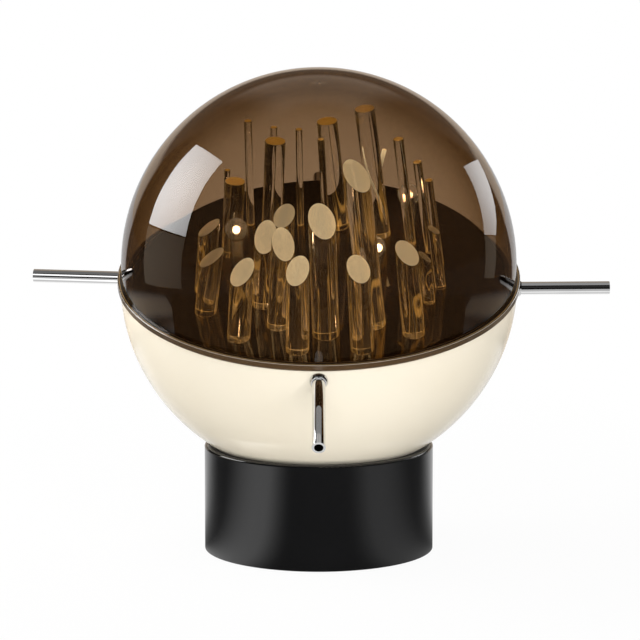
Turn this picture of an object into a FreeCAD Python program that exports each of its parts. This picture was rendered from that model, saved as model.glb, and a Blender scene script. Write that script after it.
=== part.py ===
import FreeCAD, Part
import math
import os
import re
import Sketcher
from FreeCAD import Vector

# Globe table lamp: a ball of two half shells that rests, tilted, in an open drum. The lower shell is a
# bowl with four tube handles, the upper one a smoked dome that lifts off. A mirror plate inside carries
# upright clear rods and three small bulbs. Millimetres; X right, Z up, and the lamp leans towards -Y.
# The axis of the globe is its own Z; sizes "along the axis" are measured from the bowl's centre.

DIMENSIONS = [
    # drum base
    ("drum_radius", 116.5, "outside of the drum"),
    ("drum_height", 109, "floor to rim"),
    ("drum_wall", 4, "wall of the drum"),
    ("rim_round", 2.4, "rounding of the rim's outer edge"),
    ("drum_lift", 1.5, "drum's lower edge above the floor"),
    ("felt_thick", 3, "felt under the floor plate"),
    ("felt_inset", 2, "felt's edge from the drum's bore"),
    ("felt_room", 1, "felt's holes round the screw heads"),
    ("floor_thick", 3, "steel floor plate"),
    ("ballast_thick", 14, "steel ballast disc"),
    ("ballast_gap", 4.5, "ballast disc's edge from the screw bosses"),
    ("ballast_bore", 22, "radius of the hole in the ballast disc"),
    ("boss_radius", 6, "screw bosses inside the drum"),
    ("boss_gap", 2, "screw bosses' sides from the drum's bore"),
    ("boss_height", 20, "screw bosses inside the drum"),
    ("screw_radius", 1.5, "shank of the small screws"),
    ("head_radius", 3.5, "head of the small screws"),
    ("head_height", 1.6, "head of the small screws"),
    ("screw_length", 14, "shank of a floor screw"),
    ("hole_spare", 1, "how far the screw holes go past their screws"),
    ("cord_bore", 3.4, "radius of the grommet's hole, for the cord"),
    ("grommet_radius", 6, "grommet where it passes the wall"),
    ("grommet_lip", 2.6, "how far the grommet's lips stand out from its body"),
    ("grommet_lip_thick", 2, "thickness of the grommet's lips"),
    ("grommet_height", 15, "grommet's centre above the floor"),
    # seat that the ball rests in
    ("seat_land", 5.5, "flat top of the seat ring, from the drum's bore to the ball"),
    ("seat_recess", 0.6, "seat ring's top below the drum's rim"),
    ("seat_width", 15.2, "seat ring, from its outside to its hole"),
    ("seat_depth", 10, "height of the seat ring"),
    ("ledge_thick", 3, "ledge that the seat ring turns on"),
    ("ledge_width", 12.5, "ledge, from the drum's bore inwards"),
    ("running_gap", 0.3, "gap between pieces that move on one another"),
    ("fit_gap", 0.2, "gap around a piece that passes a hole"),
    # globe
    ("globe_tilt", 16.5, "lean of the globe towards the front, degrees"),
    ("bowl_radius", 201.3, "outside of the bowl"),
    ("bowl_wall", 4, "wall of the bowl"),
    ("bowl_mouth", 4.2, "bowl's edge below its centre"),
    ("gasket_thick", 1.2, "soft ring on the bowl's edge"),
    ("gasket_inset", 0.7, "soft ring from both sides of the bowl's edge"),
    ("dome_step", 1.3, "dome's outside within the bowl's"),
    ("dome_wall", 4.5, "wall of the dome"),
    ("dome_rise", 14.8, "dome's centre above the bowl's centre"),
    ("flange_step", 2.6, "flange's edge beyond the bowl's outside"),
    ("flange_thick", 6.2, "dome's flange"),
    ("flange_edge", 0.6, "broken edges of the flange"),
    ("lip_gap", 0.85, "gap round the lip under the flange, which centres the dome in the bowl"),
    ("lip_depth", 3.2, "lip under the flange"),
    # tube handles
    ("bar_radius", 6.6, "tube handles"),
    ("bar_bore", 4.5, "hole in the tube handles"),
    ("side_reach", 95, "side and back handles, outside the bowl"),
    ("front_reach", 101, "front handle, outside the bowl"),
    ("front_droop", 12, "front handle below the bowl's mouth plane, degrees"),
    ("left_droop", 2.5, "left handle, degrees"),
    ("right_droop", 0.5, "right handle, degrees"),
    ("back_droop", 1.5, "back handle, degrees"),
    ("left_turn", -99, "left handle round the globe's axis from the front, degrees"),
    ("right_turn", 92, "right handle round the globe's axis from the front, degrees"),
    ("rosette_width", 2.7, "width of the domed collars around the handles"),
    ("rosette_thick", 4.6, "domed collars on the bowl"),
    ("rosette_edge", 1.2, "straight edge of the collars"),
    ("rosette_crown", 0.7, "collars' side drawn in at half their height"),
    ("rosette_land", 0.9, "flat ring at the collars' top, round the tube"),
    ("nut_wall", 1.4, "wall of the nuts inside the bowl"),
    ("nut_room", 0.9, "nuts inside the bowl below the lip under the flange"),
    ("nut_thick", 3.2, "nuts inside the bowl"),
    ("tube_proud", 0.4, "how far the tubes stand out of their nuts"),
    # mirror plate and its stem
    ("plate_gap", 6.3, "mirror plate's edge within the bowl's bore"),
    ("plate_thick", 5, "mirror plate"),
    ("plate_drop", 4.7, "top of the plate below the bowl's centre"),
    ("plate_tilt", 8.9, "plate leans further to the front than the globe, degrees"),
    ("plate_roll", 1.7, "plate's right edge is higher, degrees"),
    ("stem_radius", 5, "tube between the bowl and the plate"),
    ("stem_bore", 3.5, "hole in the stem"),
    ("stem_out", 9, "stem's end below the bowl"),
    ("hub_radius", 11, "hub that holds the stem"),
    ("hub_length", 32, "hub that holds the stem"),
    ("hub_cap", 3, "solid top of the hub"),
    ("boss_flange_radius", 30, "flange under the plate"),
    ("boss_flange_thick", 6, "flange under the plate"),
    ("boss_bolt_circle", 23, "screws of the flange under the plate"),
    ("boss_screw_grip", 3, "how far these screws enter the plate"),
    ("stem_nut_radius", 10, "nuts of the stem"),
    ("stem_nut_thick", 6, "nuts of the stem"),
    # bulbs
    ("bulb_radius", 12, "ball of the bulbs' glass"),
    ("bulb_height", 44, "ball's middle above the plate"),
    ("bulb_glass", 0.8, "wall of the bulbs' glass"),
    ("neck_step", 0.5, "step from the screw caps in to the glass necks"),
    ("neck_bore", 3.5, "hole in the neck's lower end, for the wires"),
    ("bulb_sunk", 9, "lower end of the glass below the plate's top"),
    ("cap_radius", 7, "screw caps of the bulbs"),
    ("cap_length", 24, "screw caps of the bulbs"),
    ("holder_radius", 13.5, "lampholders"),
    ("holder_wall", 1.6, "lampholders"),
    ("holder_length", 44, "lampholders"),
    ("holder_flange", 4, "lampholders' flange beyond their body"),
    ("holder_floor", 5, "lampholders"),
    # wiring inside the bowl
    ("block_width", 30, "terminal block round the stem"),
    ("block_height", 16, "terminal block round the stem"),
    ("lead_radius", 1.4, "insulated leads"),
    ("lead_inset", 4, "leads inside the terminal block's edge"),
    ("lead_reach", 30, "how far the leads' ends pull their curve"),
]

# The rods: place to the right and to the front of the plate's middle, height at the middle of the
# top face, diameter, lean to the right in degrees, slope of the top face in degrees, and the side
# that this face looks to: 0 the front, positive the right.
RODS = {
    "rod_01": (-113.5, 46, 65.5, 22, 8, 42.5, -87),
    "rod_02": (-115.5, 8, 75.5, 20.5, 6, 41.5, -89),
    "rod_03": (-79.5, 92, 78, 23, 5, 44.5, -48),
    "rod_04": (-56, 35, 80.5, 22.5, 4, 49.5, -14),
    "rod_05": (-38, 0, 82, 21.5, 4, 38, -32),
    "rod_06": (-40.5, 73, 97, 23, 5, 48, 21),
    "rod_07": (-21, 116, 94, 23, 2, 43, -24),
    "rod_08": (7, 89, 133, 27, 0, 43.5, 22.5),
    "rod_09": (54, 74, 175, 25.5, -4, 45.5, 43.5),
    "rod_10": (43, 117, 95, 23, -1, 40, 26),
    "rod_11": (94, 92, 95.5, 22.5, -3, 40, 48),
    "rod_12": (64, -86, 153, 20.5, -5, -8, 0),
    "rod_13": (21, -104, 128, 21, -4, -8, 0),
    "rod_14": (-49, -81, 120, 21, 4, -8, 0),
    "rod_15": (-90, -58, 87.5, 20.5, 5, -8, 0),
    "rod_16": (-71, -110, 127, 8, 1, -8, 0),
    "rod_17": (-47, -127, 108, 7, 2, -8, 0),
    "rod_18": (-19, -107, 117, 7, 1, -8, 0),
    "rod_19": (8, -77, 123, 7, -1, -8, 0),
    "rod_20": (-97, -93, 79, 6, 4, -8, 0),
    "rod_21": (95, -68, 127, 10.5, -5, -8, 0),
    "rod_22": (114, -51, 110, 9, -6, -8, 0),
    "rod_23": (124, -28, 102.5, 8, -6, -8, 0),
    "rod_24": (111, 39, 54.5, 12, -4, 47.5, 90),
    "rod_25": (123, 13, 69.5, 11, -5, 38, 86),
    "rod_26": (49, -115, 87.5, 4.6, 14, -8, 0),
}

# The bulbs: place to the right and to the front of the plate's middle.
BULBS = [(-82.5, -34), (57, 5), (94, -91)]

FLOOR_SCREW_ANGLES = (30, 150, 270)
BOSS_SCREW_ANGLES = (90, 210, 330)

doc = FreeCAD.newDocument("globe_table_lamp")
sheet = doc.addObject("Spreadsheet::Sheet", "Dimensions")
nodes = {}


def fill_sheet():
    # One row for each driving size: name, number and what it is.
    rows = list(DIMENSIONS)
    for name, (right, front, height, across, lean, slope, look) in RODS.items():
        rows += [
            (f"{name}_right", right, "rod's foot"),
            (f"{name}_front", front, "rod's foot"),
            (f"{name}_height", height, "rod's height"),
            (f"{name}_across", across, "rod's diameter"),
            (f"{name}_lean", lean, "rod's lean, degrees"),
            (f"{name}_slope", slope, "slope of the rod's top, degrees"),
            (f"{name}_look", look, "where the rod's top looks, degrees"),
        ]
    for count, (right, front) in enumerate(BULBS, 1):
        rows += [(f"bulb_{count}_right", right, "bulb's foot"), (f"bulb_{count}_front", front, "bulb's foot")]
    for row, (name, value, note) in enumerate(rows, 1):
        sheet.set(f"A{row}", name)
        sheet.set(f"B{row}", str(value))
        sheet.set(f"C{row}", note)
        sheet.setAlias(f"B{row}", name)
    doc.recompute()
    return {name for name, value, note in rows}


ALIASES = fill_sheet()


def tied(text):
    # Expression text in which each size's name refers to its cell.
    def cell(match):
        word = match.group(0)
        return f"Dimensions.{word}" if word in ALIASES else word
    return re.sub(r"[A-Za-z_][A-Za-z_0-9]*", cell, str(text))


def tie(obj, **sizes):
    for name, text in sizes.items():
        obj.setExpression(name, tied(text))


def spot(x="0", y="0", z="0", axis="0;0;1", angle="0"):
    # A move to (x, y, z) and a turn about an axis through that point, as expression text.
    return f"placement(vector({x};{y};{z});rotation(vector({axis});{angle}))"


def put(obj, *moves):
    # Places an object by the moves, the outermost first.
    if moves:
        tie(obj, Placement="*".join(moves))
    return obj


def node(label, obj):
    obj.Label = label
    nodes[label] = obj
    return obj


def cylinder(name, radius, height, *moves):
    obj = doc.addObject("Part::Cylinder", name)
    tie(obj, Radius=radius, Height=height)
    return put(obj, *moves)


def box(name, length, width, height, *moves):
    obj = doc.addObject("Part::Box", name)
    tie(obj, Length=length, Width=width, Height=height)
    return put(obj, *moves)


def ball(name, radius, low, high, *moves):
    # The slice of a ball between two heights from its centre.
    obj = doc.addObject("Part::Sphere", name)
    tie(obj, Radius=radius, Angle1=f"asin(({low})/({radius}))", Angle2=f"asin(({high})/({radius}))")
    return put(obj, *moves)


def fuse(name, *pieces):
    obj = doc.addObject("Part::MultiFuse", name)
    obj.Shapes = list(pieces)
    return obj


def group(name, *pieces):
    # Separate pieces of one kind that share a node.
    obj = doc.addObject("Part::Compound", name)
    obj.Links = list(pieces)
    return obj


def cut(name, base, *tools):
    obj = doc.addObject("Part::Cut", name)
    obj.Base = base
    obj.Tool = tools[0] if len(tools) == 1 else fuse(f"{name}_tools", *tools)
    return obj


def own_plane(body, role):
    return [feature for feature in body.Origin.OriginFeatures if feature.Role == role][0]


def turned(name, corners, *moves):
    # A body turned about its Z axis from the outline through the corners (radius, height). A radius
    # of "0" keeps the corner on the axis.
    body = doc.addObject("PartDesign::Body", name)
    sketch = body.newObject("Sketcher::SketchObject", f"{name}_outline")
    sketch.AttachmentSupport = [(own_plane(body, "XZ_Plane"), "")]
    sketch.MapMode = "FlatFace"
    starts = [tuple(float(evaluate(text)) for text in corner) for corner in corners]
    for count, start in enumerate(starts):
        end = starts[(count + 1) % len(starts)]
        sketch.addGeometry(Part.LineSegment(Vector(*start, 0), Vector(*end, 0)))
    for count in range(len(starts)):
        sketch.addConstraint(Sketcher.Constraint("Coincident", count, 2, (count + 1) % len(starts), 1))
    for count, corner in enumerate(corners):
        for kind, text, start in zip(("DistanceX", "DistanceY"), corner, starts[count]):
            number = sketch.addConstraint(Sketcher.Constraint(kind, -1, 1, count, 1, start))
            tie(sketch, **{f"Constraints[{number}]": text})
    turn = body.newObject("PartDesign::Revolution", f"{name}_turn")
    turn.Profile = sketch
    turn.ReferenceAxis = (sketch, ["V_Axis"])
    turn.Angle = 360
    return put(body, *moves)


def evaluate(text):
    return sheet.evalExpression(tied(text))


def round_edge(body, name, radius, height, size):
    # Rounds the circular edge of a turned body that lies at the given radius and height.
    doc.recompute()
    at_radius = evaluate(radius)
    at_height = evaluate(height)
    for number, edge in enumerate(body.Shape.Edges, 1):
        curve = edge.Curve
        is_circle = isinstance(curve, Part.Circle)
        if is_circle and abs(curve.Radius - at_radius) < 0.01 and abs(curve.Center.z - at_height) < 0.01:
            turn = body.Tip
            fillet = body.newObject("PartDesign::Fillet", name)
            fillet.Base = (turn, [f"Edge{number}"])
            tie(fillet, Radius=size)
            return
    raise ValueError(f"no edge for {name}")


# Heights and places that follow from the driving sizes
DRUM_BORE = "(drum_radius - drum_wall)"
FLOOR_TOP = "(felt_thick + floor_thick)"
SEAT_TOP = "(drum_height - seat_recess)"
SEAT_RADIUS = f"({DRUM_BORE} - seat_land)"
SEAT_OUTSIDE = f"({DRUM_BORE} - running_gap)"
LEDGE_TOP = f"({SEAT_TOP} - seat_depth - running_gap)"
LEDGE_BORE = f"({DRUM_BORE} - ledge_width)"
CENTRE = f"({SEAT_TOP} + sqrt((bowl_radius + running_gap)^2 - {SEAT_RADIUS}^2))"
BOSS_CIRCLE = f"({DRUM_BORE} - boss_gap - boss_radius)"
FLANGE_LOW = "(running_gap + gasket_thick - bowl_mouth)"
BOWL_BORE = "(bowl_radius - bowl_wall)"
MOUTH_RADIUS = "sqrt(bowl_radius^2 - bowl_mouth^2)"
MOUTH_BORE = f"sqrt({BOWL_BORE}^2 - bowl_mouth^2)"
DOME_RADIUS = "(bowl_radius - dome_step)"
FLANGE_RADIUS = "(bowl_radius + flange_step)"
CAP_BORE = "(cap_radius + fit_gap)"
NECK_RADIUS = "(cap_radius - neck_step)"
ROSETTE_RADIUS = "(bar_radius + rosette_width)"
NUT_RADIUS = "(bar_radius + nut_wall)"
BAR_DROP = f"(lip_depth - {FLANGE_LOW} + nut_room + {NUT_RADIUS})"
ROOT_RADIUS = f"sqrt(bowl_radius^2 - {BAR_DROP}^2)"

GLOBE = spot(z=CENTRE, axis="1;0;0", angle="globe_tilt")
PLATE = "*".join([
    GLOBE,
    spot(z="-plate_drop", axis="1;0;0", angle="plate_tilt"),
    spot(axis="0;-1;0", angle="plate_roll"),
])


def around(radius, angle, z="0"):
    # A place on a circle about the current Z axis, from +X.
    return spot(f"({radius})*cos({angle})", f"({radius})*sin({angle})", z)


# Drum base

def make_drum():
    shell = turned("drum_shell", [
        ("drum_radius", "drum_lift"),
        ("drum_radius", "drum_height"),
        (DRUM_BORE, "drum_height"),
        (DRUM_BORE, LEDGE_TOP),
        (LEDGE_BORE, LEDGE_TOP),
        (LEDGE_BORE, f"{LEDGE_TOP} - ledge_thick"),
        (DRUM_BORE, f"{LEDGE_TOP} - ledge_thick - ledge_width"),
        (DRUM_BORE, "drum_lift"),
    ])
    round_edge(shell, "rim_rounding", "drum_radius", "drum_height", "min(rim_round; 0.9*drum_wall)")
    bosses = []
    holes = []
    for count, angle in enumerate(FLOOR_SCREW_ANGLES, 1):
        place = around(BOSS_CIRCLE, angle, FLOOR_TOP)
        bosses.append(cylinder(f"drum_boss_{count}", "boss_radius", "boss_height", place))
        web = box(f"drum_web_{count}", "boss_radius + boss_gap + 0.5*drum_wall", "boss_radius", "boss_height",
                  spot(angle=angle), spot(BOSS_CIRCLE, "-0.5*boss_radius", FLOOR_TOP))
        bosses.append(web)
        holes.append(cylinder(f"drum_boss_hole_{count}", "screw_radius + 0.5*fit_gap",
                              "screw_length - floor_thick + hole_spare", place))
    cord_way = cylinder("drum_cord_way", "grommet_radius + fit_gap", "3*drum_wall",
                        spot("0", "drum_radius + drum_wall", "grommet_height", "1;0;0", "90"))
    node("base_drum", cut("drum_cut", fuse("drum_solid", shell, *bosses), cord_way, *holes))


def make_floor():
    plate = cylinder("floor_disc", f"{DRUM_BORE} - fit_gap", "floor_thick", spot(z="felt_thick"))
    felt = cylinder("felt_disc", f"{DRUM_BORE} - felt_inset", "felt_thick")
    plate_holes = []
    felt_holes = []
    screws = []
    for count, angle in enumerate(FLOOR_SCREW_ANGLES, 1):
        plate_holes.append(cylinder(f"floor_hole_{count}", "screw_radius + fit_gap", "floor_thick",
                                    around(BOSS_CIRCLE, angle, "felt_thick")))
        felt_holes.append(cylinder(f"felt_hole_{count}", "head_radius + felt_room", "felt_thick",
                                   around(BOSS_CIRCLE, angle)))
        head = cylinder(f"floor_screw_head_{count}", "head_radius", "head_height",
                        around(BOSS_CIRCLE, angle, "felt_thick - head_height"))
        shank = cylinder(f"floor_screw_shank_{count}", "screw_radius", "screw_length",
                         around(BOSS_CIRCLE, angle, "felt_thick"))
        screws.append(fuse(f"floor_screw_{count}", head, shank))
    node("base_floor_plate", cut("floor_cut", plate, *plate_holes))
    node("felt_pad", cut("felt_cut", felt, *felt_holes))
    node("floor_screws", group("floor_screw_set", *screws))
    disc = cylinder("ballast_solid", f"{BOSS_CIRCLE} - boss_radius - ballast_gap", "ballast_thick",
                    spot(z=FLOOR_TOP))
    way = cylinder("ballast_hole", "ballast_bore", "ballast_thick", spot(z=FLOOR_TOP))
    node("ballast_disc", cut("ballast_cut", disc, way))


def make_grommet():
    lip = "(grommet_radius + grommet_lip)"
    inner = f"(drum_radius - sqrt({DRUM_BORE}^2 - {lip}^2))"
    body = turned("grommet", [
        ("cord_bore", "-grommet_lip_thick"),
        (lip, "-grommet_lip_thick"),
        (lip, "0"),
        ("grommet_radius", "0"),
        ("grommet_radius", inner),
        (lip, inner),
        (lip, f"{inner} + grommet_lip_thick"),
        ("cord_bore", f"{inner} + grommet_lip_thick"),
    ], spot("0", "drum_radius", "grommet_height", "1;0;0", "90"))
    node("cord_grommet", body)


def make_seat():
    low = spot(z=f"{SEAT_TOP} - seat_depth")
    ring = cylinder("seat_solid", SEAT_OUTSIDE, "seat_depth", low)
    bore = cylinder("seat_hole", f"{SEAT_OUTSIDE} - seat_width", "seat_depth", low)
    reach = "(bowl_radius + running_gap)"
    cup = ball("seat_cup", reach, f"-{reach}", "0", spot(z=CENTRE))
    node("seat_ring", cut("seat_cut", ring, bore, cup))


# Globe

def handle(side):
    # Moves to a handle's root: its own Z runs out along the tube, or square to the bowl.
    turn = {"front": "0", "left": "left_turn", "right": "right_turn", "back": "180"}[side]
    at_root = [GLOBE, spot(angle=turn)]
    root = ("0", f"-{ROOT_RADIUS}", f"-{BAR_DROP}", "1;0;0")
    along = spot(*root, f"90 + {side}_droop")
    square = spot(*root, f"90 deg + asin({BAR_DROP}/bowl_radius)")
    return at_root + [along], at_root + [square]


SIDES = ("front", "left", "right", "back")


def make_bowl():
    outside = ball("bowl_outside", "bowl_radius", "-bowl_radius", "-bowl_mouth", GLOBE)
    inside = ball("bowl_inside", BOWL_BORE, f"-{BOWL_BORE}", f"{BOWL_BORE}", GLOBE)
    ways = [cylinder("bowl_stem_way", "stem_radius + fit_gap", "3*bowl_wall",
                     GLOBE, spot(z="-bowl_radius - bowl_wall"))]
    for side in SIDES:
        along, square = handle(side)
        ways.append(cylinder(f"bowl_{side}_way", "bar_radius + fit_gap", "4*bowl_wall",
                             *along, spot(z="-3*bowl_wall")))
    node("bowl", cut("bowl_cut", outside, inside, *ways))
    body = turned("gasket", [
        (f"{MOUTH_BORE} + gasket_inset", "-bowl_mouth"),
        (f"{MOUTH_RADIUS} - gasket_inset", "-bowl_mouth"),
        (f"{MOUTH_RADIUS} - gasket_inset", "gasket_thick - bowl_mouth"),
        (f"{MOUTH_BORE} + gasket_inset", "gasket_thick - bowl_mouth"),
    ], GLOBE)
    node("rim_gasket", body)


def make_dome():
    shell = ball("dome_outside", DOME_RADIUS, f"{FLANGE_LOW} - dome_rise", DOME_RADIUS,
                 GLOBE, spot(z="dome_rise"))
    flange = turned("dome_flange", [
        ("0", FLANGE_LOW),
        (f"{FLANGE_RADIUS} - flange_edge", FLANGE_LOW),
        (FLANGE_RADIUS, f"{FLANGE_LOW} + flange_edge"),
        (FLANGE_RADIUS, f"{FLANGE_LOW} + flange_thick - flange_edge"),
        (f"{FLANGE_RADIUS} - flange_edge", f"{FLANGE_LOW} + flange_thick"),
        ("0", f"{FLANGE_LOW} + flange_thick"),
    ], GLOBE)
    lip = cylinder("dome_lip", f"{MOUTH_BORE} - lip_gap", "lip_depth + 0.5*flange_thick",
                   GLOBE, spot(z=f"{FLANGE_LOW} - lip_depth"))
    inner = f"({DOME_RADIUS} - dome_wall)"
    inside = ball("dome_inside", inner, f"-{inner}", inner, GLOBE, spot(z="dome_rise"))
    node("dome", cut("dome_cut", fuse("dome_solid", shell, flange, lip), inside))


def make_handles():
    nuts = []
    for side in SIDES:
        along, square = handle(side)
        reach = "front_reach" if side == "front" else "side_reach"
        inward = "(bowl_wall + nut_thick + tube_proud)"
        length = f"{reach} + {inward}"
        start = spot(z=f"-{inward}")
        tube = cylinder(f"bar_{side}_outside", "bar_radius", length, *along, start)
        bore = cylinder(f"bar_{side}_bore", "bar_bore", length, *along, start)
        node(f"bar_{side}", cut(f"bar_{side}_tube", tube, bore))
        collar = turned(f"rosette_{side}_solid", [
            ("0", "0"),
            (ROSETTE_RADIUS, "0"),
            (ROSETTE_RADIUS, "rosette_edge"),
            (f"{ROSETTE_RADIUS} - rosette_crown", "rosette_edge + 0.5*(rosette_thick - rosette_edge)"),
            ("bar_radius + rosette_land", "rosette_thick"),
            ("0", "rosette_thick"),
        ], *square)
        way = cylinder(f"rosette_{side}_way", "bar_radius + fit_gap", "3*rosette_thick",
                       *along, spot(z="-rosette_thick"))
        node(f"rosette_{side}", cut(f"rosette_{side}_cut", collar, way))
        seated = f"({BOWL_BORE} - sqrt({BOWL_BORE}^2 - {NUT_RADIUS}^2))"
        nut = cylinder(f"nut_{side}_solid", NUT_RADIUS, "nut_thick",
                       *square, spot(z=f"-bowl_wall - {seated} - nut_thick"))
        nut_way = cylinder(f"nut_{side}_way", "bar_radius + 0.5*fit_gap", "4*nut_thick",
                           *along, spot(z="-bowl_wall - 2*nut_thick"))
        nuts.append(cut(f"nut_{side}_cut", nut, nut_way))
    node("bar_nuts", group("bar_nut_set", *nuts))


def at_bulb(count):
    return spot(f"bulb_{count}_right", f"-bulb_{count}_front")


def make_plate():
    disc = cylinder("plate_disc", f"{BOWL_BORE} - plate_gap", "plate_thick", PLATE, spot(z="-plate_thick"))
    holes = []
    for count in range(1, len(BULBS) + 1):
        holes.append(cylinder(f"plate_bulb_hole_{count}", CAP_BORE, "plate_thick",
                              PLATE, at_bulb(count), spot(z="-plate_thick")))
    for count, angle in enumerate(BOSS_SCREW_ANGLES, 1):
        holes.append(cylinder(f"plate_screw_hole_{count}", "screw_radius + 0.5*fit_gap",
                              "boss_screw_grip + hole_spare",
                              PLATE, around("boss_bolt_circle", angle, "-plate_thick")))
    node("mirror_plate", cut("plate_cut", disc, *holes))


def make_stem():
    hub_top = "(-plate_drop - plate_thick - 0.5*boss_flange_thick)"
    stem_top = f"({hub_top} - hub_cap)"
    stem_low = "(-bowl_radius - stem_out)"
    tube = cylinder("stem_outside", "stem_radius", f"{stem_top} - {stem_low}", GLOBE, spot(z=stem_low))
    bore = cylinder("stem_hole", "stem_bore", f"{stem_top} - {stem_low}", GLOBE, spot(z=stem_low))
    node("stem_tube", cut("stem_cut", tube, bore))
    flange = cylinder("boss_flange", "boss_flange_radius", "boss_flange_thick",
                      PLATE, spot(z="-plate_thick - boss_flange_thick"))
    hub = cylinder("boss_hub", "hub_radius", "hub_length", GLOBE, spot(z=f"{hub_top} - hub_length"))
    ways = [cylinder("boss_stem_way", "stem_radius + 0.5*fit_gap", "hub_length", GLOBE,
                     spot(z=f"{stem_top} - hub_length"))]
    screws = []
    for count, angle in enumerate(BOSS_SCREW_ANGLES, 1):
        low = "(-plate_thick - boss_flange_thick)"
        ways.append(cylinder(f"boss_screw_way_{count}", "screw_radius + fit_gap", "boss_flange_thick",
                             PLATE, around("boss_bolt_circle", angle, low)))
        head = cylinder(f"boss_screw_head_{count}", "head_radius", "head_height",
                        PLATE, around("boss_bolt_circle", angle, f"{low} - head_height"))
        shank = cylinder(f"boss_screw_shank_{count}", "screw_radius", "boss_flange_thick + boss_screw_grip",
                         PLATE, around("boss_bolt_circle", angle, low))
        screws.append(fuse(f"boss_screw_{count}", head, shank))
    node("stem_boss", cut("boss_cut", fuse("boss_solid", flange, hub), *ways))
    node("boss_screws", group("boss_screw_set", *screws))
    inner_face = f"(-sqrt({BOWL_BORE}^2 - stem_nut_radius^2))"
    nuts = []
    for name, low in (("inner", inner_face), ("outer", "(-bowl_radius - stem_nut_thick)")):
        place = [GLOBE, spot(z=low)]
        solid = cylinder(f"stem_nut_{name}_solid", "stem_nut_radius", "stem_nut_thick", *place)
        way = cylinder(f"stem_nut_{name}_way", "stem_radius + 0.5*fit_gap", "stem_nut_thick", *place)
        nuts.append(cut(f"stem_nut_{name}", solid, way))
    node("stem_nuts", group("stem_nut_set", *nuts))
    block_low = f"({inner_face} + stem_nut_thick)"
    block = box("block_solid", "block_width", "block_width", "block_height",
                GLOBE, spot("-block_width/2", "-block_width/2", block_low))
    block_way = cylinder("block_way", "stem_radius + 0.5*fit_gap", "block_height", GLOBE, spot(z=block_low))
    node("terminal_block", cut("block_cut", block, block_way))


def make_rods():
    for name in RODS:
        foot = [PLATE, spot(f"{name}_right", f"-{name}_front", "0", "0;1;0", f"{name}_lean")]
        # The stick starts one diameter below the plate and ends two above the middle of its top. One
        # block then cuts the sloping top, and one the foot, flush with the plate.
        stick = cylinder(f"{name}_stick", f"0.5*{name}_across", f"{name}_height + 3*{name}_across",
                         *foot, spot(z=f"-{name}_across"))
        side = f"(5*{name}_across)"
        middle = f"-0.5*{side}"
        top = box(f"{name}_top", side, side, side, *foot,
                  spot(z=f"{name}_height", angle=f"{name}_look"),
                  spot(axis="1;0;0", angle=f"{name}_slope"),
                  spot(middle, middle))
        base = box(f"{name}_base", side, side, side,
                   PLATE, spot(f"{name}_right", f"-{name}_front"), spot(middle, middle, f"-{side}"))
        node(name, cut(f"{name}_cut", stick, top, base))


def make_bulbs():
    caps = []
    for count in range(1, len(BULBS) + 1):
        foot = [PLATE, at_bulb(count)]
        middle = spot(z="bulb_height")
        inner = "(bulb_radius - bulb_glass)"
        length = "(bulb_height + bulb_sunk)"
        globe = ball(f"bulb_{count}_ball", "bulb_radius", "-bulb_radius", "bulb_radius", *foot, middle)
        neck = cylinder(f"bulb_{count}_neck", NECK_RADIUS, length, *foot, spot(z="-bulb_sunk"))
        hollow = ball(f"bulb_{count}_hollow", inner, f"-{inner}", inner, *foot, middle)
        neck_hollow = cylinder(f"bulb_{count}_neck_hollow", f"{NECK_RADIUS} - bulb_glass",
                               f"{length} - bulb_glass", *foot, spot(z="bulb_glass - bulb_sunk"))
        wire_way = cylinder(f"bulb_{count}_wire_way", "neck_bore", "2*bulb_glass",
                            *foot, spot(z="-bulb_sunk - 0.5*bulb_glass"))
        outside = fuse(f"bulb_{count}_solid", globe, neck)
        node(f"bulb_glass_{count}", cut(f"bulb_{count}_cut", outside, hollow, neck_hollow, wire_way))
        caps.append(cylinder(f"bulb_{count}_cap", "cap_radius", "cap_length", *foot,
                             spot(z="-bulb_sunk - cap_length")))
        low = "(-plate_thick - holder_length)"
        holder = turned(f"holder_{count}_solid", [
            ("0", low),
            ("holder_radius", low),
            ("holder_radius", "-plate_thick - holder_wall"),
            ("holder_radius + holder_flange", "-plate_thick - holder_wall"),
            ("holder_radius + holder_flange", "-plate_thick"),
            (CAP_BORE, "-plate_thick"),
            (CAP_BORE, f"{low} + holder_floor"),
            ("0", f"{low} + holder_floor"),
        ], *foot)
        node(f"lampholder_{count}", holder)
    node("bulb_caps", group("bulb_cap_set", *caps))


def make_leads():
    # Each lead leaves the terminal block upwards and bends into the floor of its lampholder.
    doc.recompute()
    radius = evaluate("lead_radius")
    reach = evaluate("lead_reach")
    holder_low = evaluate("-plate_thick - holder_length")
    block_top = evaluate(f"-sqrt({BOWL_BORE}^2 - stem_nut_radius^2) + stem_nut_thick + block_height")
    block_radius = evaluate("0.5*block_width - lead_inset")
    globe_axis = nodes["terminal_block"].Base.Placement.Rotation
    globe_place = FreeCAD.Placement(Vector(0, 0, evaluate(CENTRE)), globe_axis)
    leads = []
    for count in range(1, len(BULBS) + 1):
        holder = nodes[f"lampholder_{count}"].Placement
        angle = math.atan2(-evaluate(f"bulb_{count}_front"), evaluate(f"bulb_{count}_right"))
        at_block = Vector(block_radius*math.cos(angle), block_radius*math.sin(angle), block_top)
        start = globe_place.multVec(at_block)
        above = globe_place.multVec(at_block + Vector(0, 0, reach))
        below = holder.multVec(Vector(0, 0, holder_low - reach))
        goal = holder.multVec(Vector(0, 0, holder_low))
        route = Part.BezierCurve()
        route.setPoles([start, above, below, goal])
        leads.append(pipe_along(route, start, above - start, radius))
    wires = doc.addObject("Part::Feature", "lead_set")
    wires.Shape = Part.makeCompound(leads)
    node("inner_leads", wires)


def pipe_along(route, start, direction, radius):
    ring = Part.Wire([Part.makeCircle(radius, start, direction)])
    return Part.Wire([route.toShape()]).makePipeShell([ring], True, False)


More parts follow.
